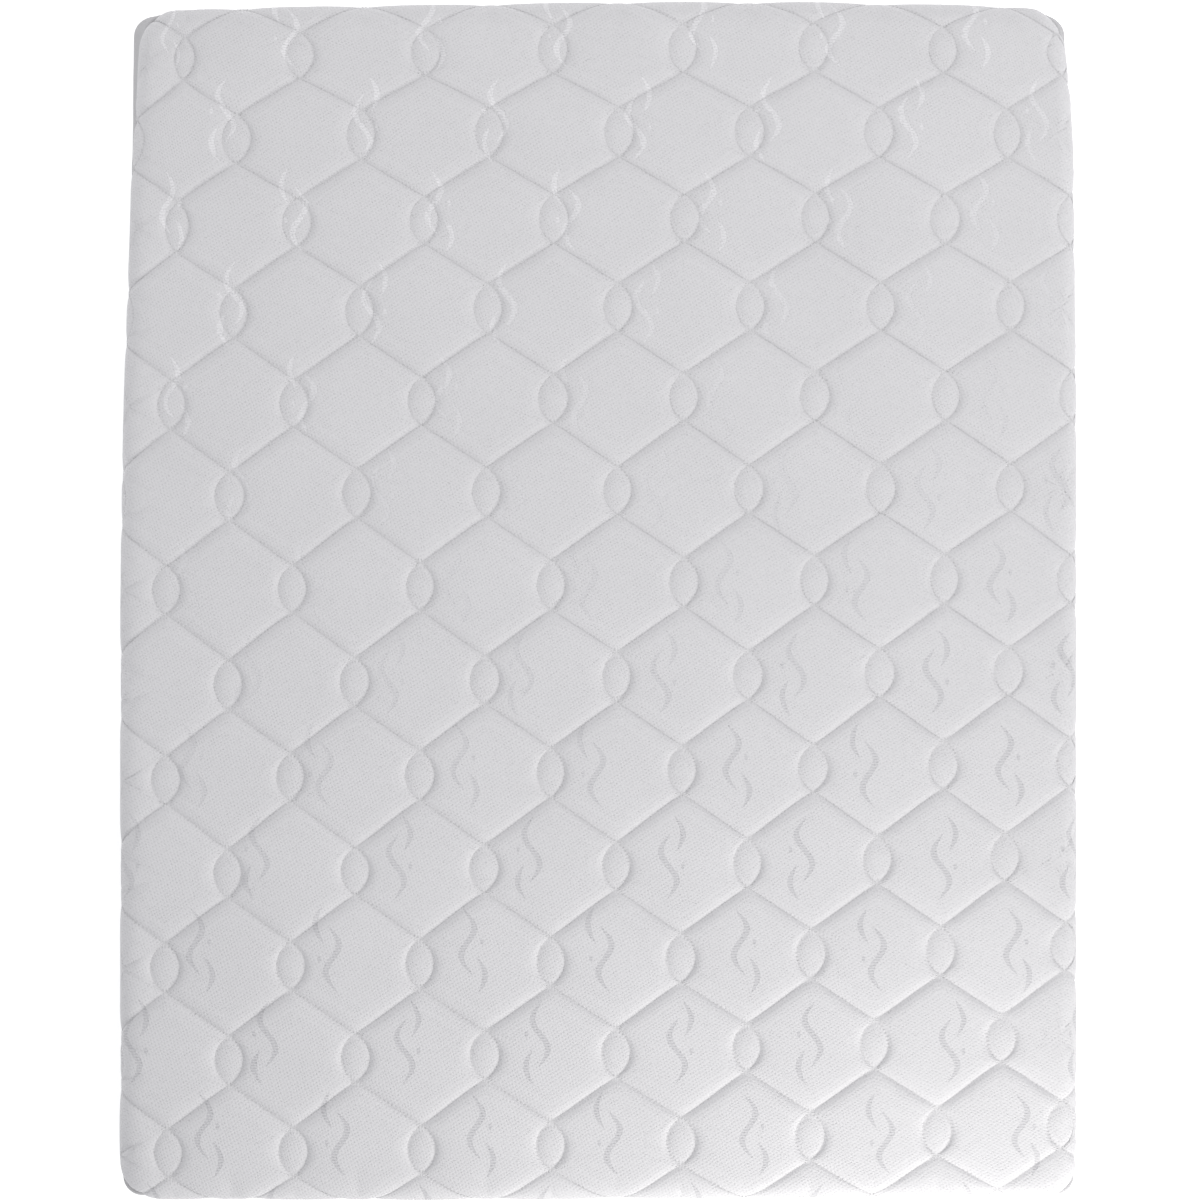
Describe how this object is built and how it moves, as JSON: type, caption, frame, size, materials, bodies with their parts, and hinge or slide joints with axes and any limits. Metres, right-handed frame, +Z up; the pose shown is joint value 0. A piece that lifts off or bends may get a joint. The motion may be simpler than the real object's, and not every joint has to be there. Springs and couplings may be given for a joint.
{
  "type": "memory foam mattress",
  "caption": "Rectangular foam mattress with softly rounded corners in a zip-off cover, its top quilted in a staggered grid of hexagonal and pointed-oval pillows.",
  "frame": {"origin": "middle of the underside, on the surface the mattress lies on", "axes": "+Z up towards the sleeping surface, +Y along the length towards the head end, X across"},
  "size_m": [1.6, 2, 0.22],
  "materials": {
    "ticking": "knitted jacquard, soft matt sheen",
    "wadding": "fluffy polyester wadding, matt",
    "backing": "non-woven, matt",
    "border_ticking": "knitted, soft matt sheen",
    "border_wadding": "fluffy polyester wadding, matt",
    "border_lining": "non-woven, matt",
    "zip_tape": "woven tape, matt",
    "zip_coil": "nylon coil, satin",
    "zip_metal": "nickel plated, satin",
    "under_cloth": "plain knitted cloth, matt",
    "binding": "woven tape, matt",
    "support_foam": "open-cell polyurethane foam, matt",
    "transition_foam": "open-cell polyurethane foam, matt",
    "memory_foam": "viscoelastic foam, fine-celled, matt"
  },
  "bodies": {
    "base": {"bottom_panel": "under_cloth", "bottom_seam_binding": "binding", "lower_border": "under_cloth", "zip_tape_lower": "zip_tape", "zip_coil_lower": "zip_coil", "zip_stops_lower": "zip_metal", "support_foam_core": "support_foam", "transition_foam_layer": "transition_foam", "memory_foam_layer": "memory_foam"},
    "top_cover": {"quilt_ticking": "ticking", "quilt_wadding": "wadding", "quilt_backing": "backing", "border_ticking": "border_ticking", "border_wadding": "border_wadding", "border_lining": "border_lining", "zip_tape_upper": "zip_tape", "zip_coil_upper": "zip_coil", "zip_stops_upper": "zip_metal"},
    "zip_slider_body": {"zip_slider": "zip_metal"},
    "zip_pull_body": {"zip_pull": "zip_metal"}
  },
  "joints": [
    {"name": "cover_lift", "type": "slide", "parent": "base", "child": "top_cover", "axis": [0, 0, 1], "range_m": [0, 0.3]},
    {"name": "slider_run", "type": "slide", "parent": "base", "child": "zip_slider_body", "axis": [-1, 0, 0], "range_m": [0, 1.25]},
    {"name": "pull_swing", "type": "hinge", "parent": "zip_slider_body", "child": "zip_pull_body", "pos_m": [0.588, -0.9982, 0.048], "axis": [-1, 0, 0], "range_deg": [0, 165]}
  ]
}
